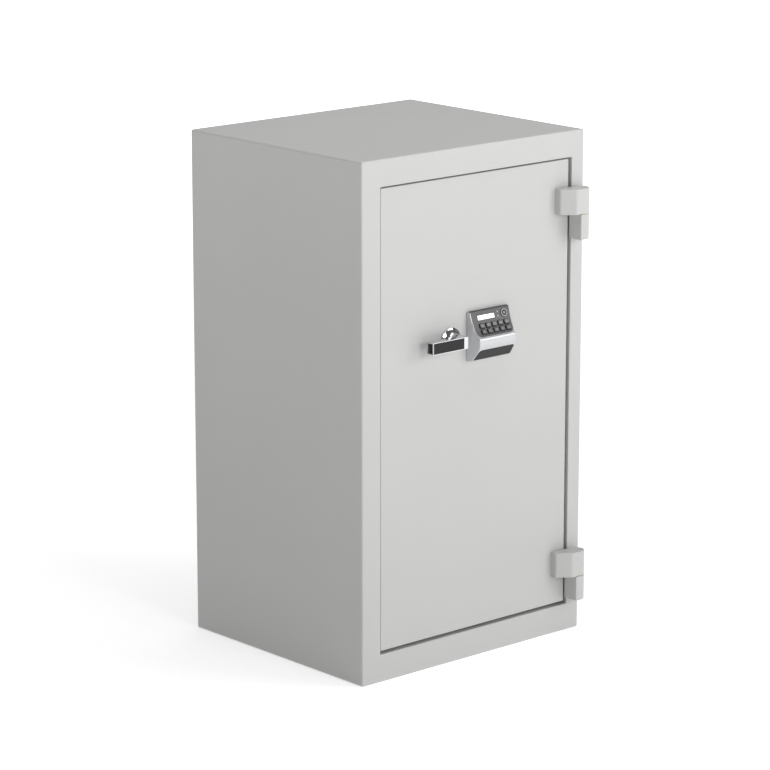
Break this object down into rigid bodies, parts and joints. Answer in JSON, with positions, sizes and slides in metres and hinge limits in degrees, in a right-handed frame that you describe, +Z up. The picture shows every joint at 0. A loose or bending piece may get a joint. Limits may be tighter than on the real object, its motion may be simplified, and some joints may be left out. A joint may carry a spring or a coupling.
{
  "type": "fire resistant safe",
  "caption": "Free-standing fire-resistant safe with an outward hinged door, electronic keypad, lever handle, rack-driven locking bolts and shelves.",
  "frame": {"origin": "middle of the body's footprint, on the surface it stands on", "axes": "+Z up, -Y out of the door's face, +X towards the hinge side as seen from the front on the right"},
  "size_m": [0.586, 0.547, 1.03],
  "materials": {
    "body_paint": "fine-textured light grey powder coat",
    "front_paint": "fine-textured light grey powder coat",
    "liner_paint": "smooth satin light grey paint",
    "fire_filling": "matt cast mineral filling",
    "zinc_steel": "zinc-plated satin steel",
    "bolt_chrome": "polished plated steel",
    "polished_chrome": "bright polished chrome",
    "brass": "plain machined brass",
    "seal_strip": "matt swelling strip",
    "black_plastic": "satin black moulding",
    "silver_plastic": "satin silver painted moulding",
    "face_plastic": "satin dark grey moulding",
    "key_caps": "matt grey keys with light digits",
    "display_glass": "clear window over a lit display",
    "lamp_lens": "clear lens",
    "lock_zinc": "die-cast lock case",
    "cable_jacket": "black jacket",
    "board_green": "green circuit board",
    "battery_wrap": "printed-free battery jacket"
  },
  "bodies": {
    "body": {"outer_shell": "body_paint", "back_panel": "body_paint", "front_frame": "front_paint", "wall_filling": "fire_filling", "inner_liner": "liner_paint", "strike_plates": "zinc_steel", "frame_seal": "seal_strip", "anchor_sleeves": "zinc_steel", "shelf_strips": "zinc_steel", "shelf_clips": "zinc_steel", "shelves": "liner_paint", "fixed_hinge_leaves": "front_paint", "hinge_pins": "zinc_steel", "hinge_washers": "brass"},
    "door": {"door_skin": "front_paint", "door_filling": "fire_filling", "door_box": "liner_paint", "boltwork_plate": "zinc_steel", "door_cover": "liner_paint", "cover_screws": "zinc_steel", "door_hinge_leaves": "front_paint", "dog_bolts": "bolt_chrome", "door_seal": "seal_strip", "handle_rose": "polished_chrome", "spindle_bush": "brass", "lock_case": "lock_zinc", "lock_screws": "zinc_steel", "lock_cable": "cable_jacket", "keypad_base": "black_plastic", "keypad_housing": "silver_plastic", "keypad_face": "face_plastic", "display_window": "display_glass", "circuit_board": "board_green", "battery_cells": "battery_wrap", "indicator_lamps": "lamp_lens", "guide_pins": "zinc_steel", "rod_guides": "zinc_steel"},
    "handle": {"lever": "polished_chrome", "lever_insert": "black_plastic", "spindle": "zinc_steel", "pinion": "zinc_steel", "locking_disc": "zinc_steel"},
    "carriage": {"bolt_carriage": "zinc_steel", "side_bolts": "bolt_chrome"},
    "top_bolt": {"top_rod": "zinc_steel"},
    "bottom_bolt": {"bottom_rod": "zinc_steel"},
    "lock_tongue": {"lock_bolt": "brass"},
    "battery_lid": {"battery_cover": "black_plastic"},
    "key_1_cap": {"key_1": "key_caps"},
    "key_2_cap": {"key_2": "key_caps"},
    "key_3_cap": {"key_3": "key_caps"},
    "key_4_cap": {"key_4": "key_caps"},
    "key_5_cap": {"key_5": "key_caps"},
    "key_6_cap": {"key_6": "key_caps"},
    "key_7_cap": {"key_7": "key_caps"},
    "key_8_cap": {"key_8": "key_caps"},
    "key_9_cap": {"key_9": "key_caps"},
    "key_0_cap": {"key_0": "key_caps"},
    "key_enter_cap": {"key_enter": "key_caps"}
  },
  "joints": [
    {"name": "door_hinge", "type": "hinge", "parent": "body", "child": "door", "pos_m": [0.269, -0.2725, 0.5], "axis": [0, 0, 1], "range_deg": [0, 115]},
    {"name": "handle_turn", "type": "hinge", "parent": "door", "child": "handle", "pos_m": [-0.0625, -0.252, 0.655], "axis": [0, -1, 0], "range_deg": [0, 90]},
    {"name": "side_bolt_slide", "type": "slide", "parent": "door", "child": "carriage", "axis": [-1, 0, 0], "range_m": [0, 0.0283]},
    {"name": "top_bolt_slide", "type": "slide", "parent": "door", "child": "top_bolt", "axis": [0, 0, 1], "range_m": [0, 0.0283]},
    {"name": "bottom_bolt_slide", "type": "slide", "parent": "door", "child": "bottom_bolt", "axis": [0, 0, -1], "range_m": [0, 0.0283]},
    {"name": "lock_bolt_slide", "type": "slide", "parent": "door", "child": "lock_tongue", "axis": [-1, 0, 0], "range_m": [0, 0.01]},
    {"name": "battery_cover_pull", "type": "slide", "parent": "door", "child": "battery_lid", "axis": [0, -0.8012, -0.5983], "range_m": [0, 0.02]},
    {"name": "key_1_press", "type": "slide", "parent": "door", "child": "key_1_cap", "axis": [0, 0.8958, -0.4444], "range_m": [0, 0.001], "stiffness_N_per_m": 300, "springref_m": -0.001},
    {"name": "key_2_press", "type": "slide", "parent": "door", "child": "key_2_cap", "axis": [0, 0.8958, -0.4444], "range_m": [0, 0.001], "stiffness_N_per_m": 300, "springref_m": -0.001},
    {"name": "key_3_press", "type": "slide", "parent": "door", "child": "key_3_cap", "axis": [0, 0.8958, -0.4444], "range_m": [0, 0.001], "stiffness_N_per_m": 300, "springref_m": -0.001},
    {"name": "key_4_press", "type": "slide", "parent": "door", "child": "key_4_cap", "axis": [0, 0.8958, -0.4444], "range_m": [0, 0.001], "stiffness_N_per_m": 300, "springref_m": -0.001},
    {"name": "key_5_press", "type": "slide", "parent": "door", "child": "key_5_cap", "axis": [0, 0.8958, -0.4444], "range_m": [0, 0.001], "stiffness_N_per_m": 300, "springref_m": -0.001},
    {"name": "key_6_press", "type": "slide", "parent": "door", "child": "key_6_cap", "axis": [0, 0.8458, -0.5336], "range_m": [0, 0.001], "stiffness_N_per_m": 300, "springref_m": -0.001},
    {"name": "key_7_press", "type": "slide", "parent": "door", "child": "key_7_cap", "axis": [0, 0.8458, -0.5336], "range_m": [0, 0.001], "stiffness_N_per_m": 300, "springref_m": -0.001},
    {"name": "key_8_press", "type": "slide", "parent": "door", "child": "key_8_cap", "axis": [0, 0.8458, -0.5336], "range_m": [0, 0.001], "stiffness_N_per_m": 300, "springref_m": -0.001},
    {"name": "key_9_press", "type": "slide", "parent": "door", "child": "key_9_cap", "axis": [0, 0.8458, -0.5336], "range_m": [0, 0.001], "stiffness_N_per_m": 300, "springref_m": -0.001},
    {"name": "key_0_press", "type": "slide", "parent": "door", "child": "key_0_cap", "axis": [0, 0.8458, -0.5336], "range_m": [0, 0.001], "stiffness_N_per_m": 300, "springref_m": -0.001},
    {"name": "key_enter_press", "type": "slide", "parent": "door", "child": "key_enter_cap", "axis": [0, 0.9534, -0.3018], "range_m": [0, 0.001], "stiffness_N_per_m": 300, "springref_m": -0.001}
  ],
  "couplings": [
    {"joint": "side_bolt_slide", "follows": "handle_turn", "m_per_rad": 0.018},
    {"joint": "top_bolt_slide", "follows": "handle_turn", "m_per_rad": 0.018},
    {"joint": "bottom_bolt_slide", "follows": "handle_turn", "m_per_rad": 0.018}
  ]
}
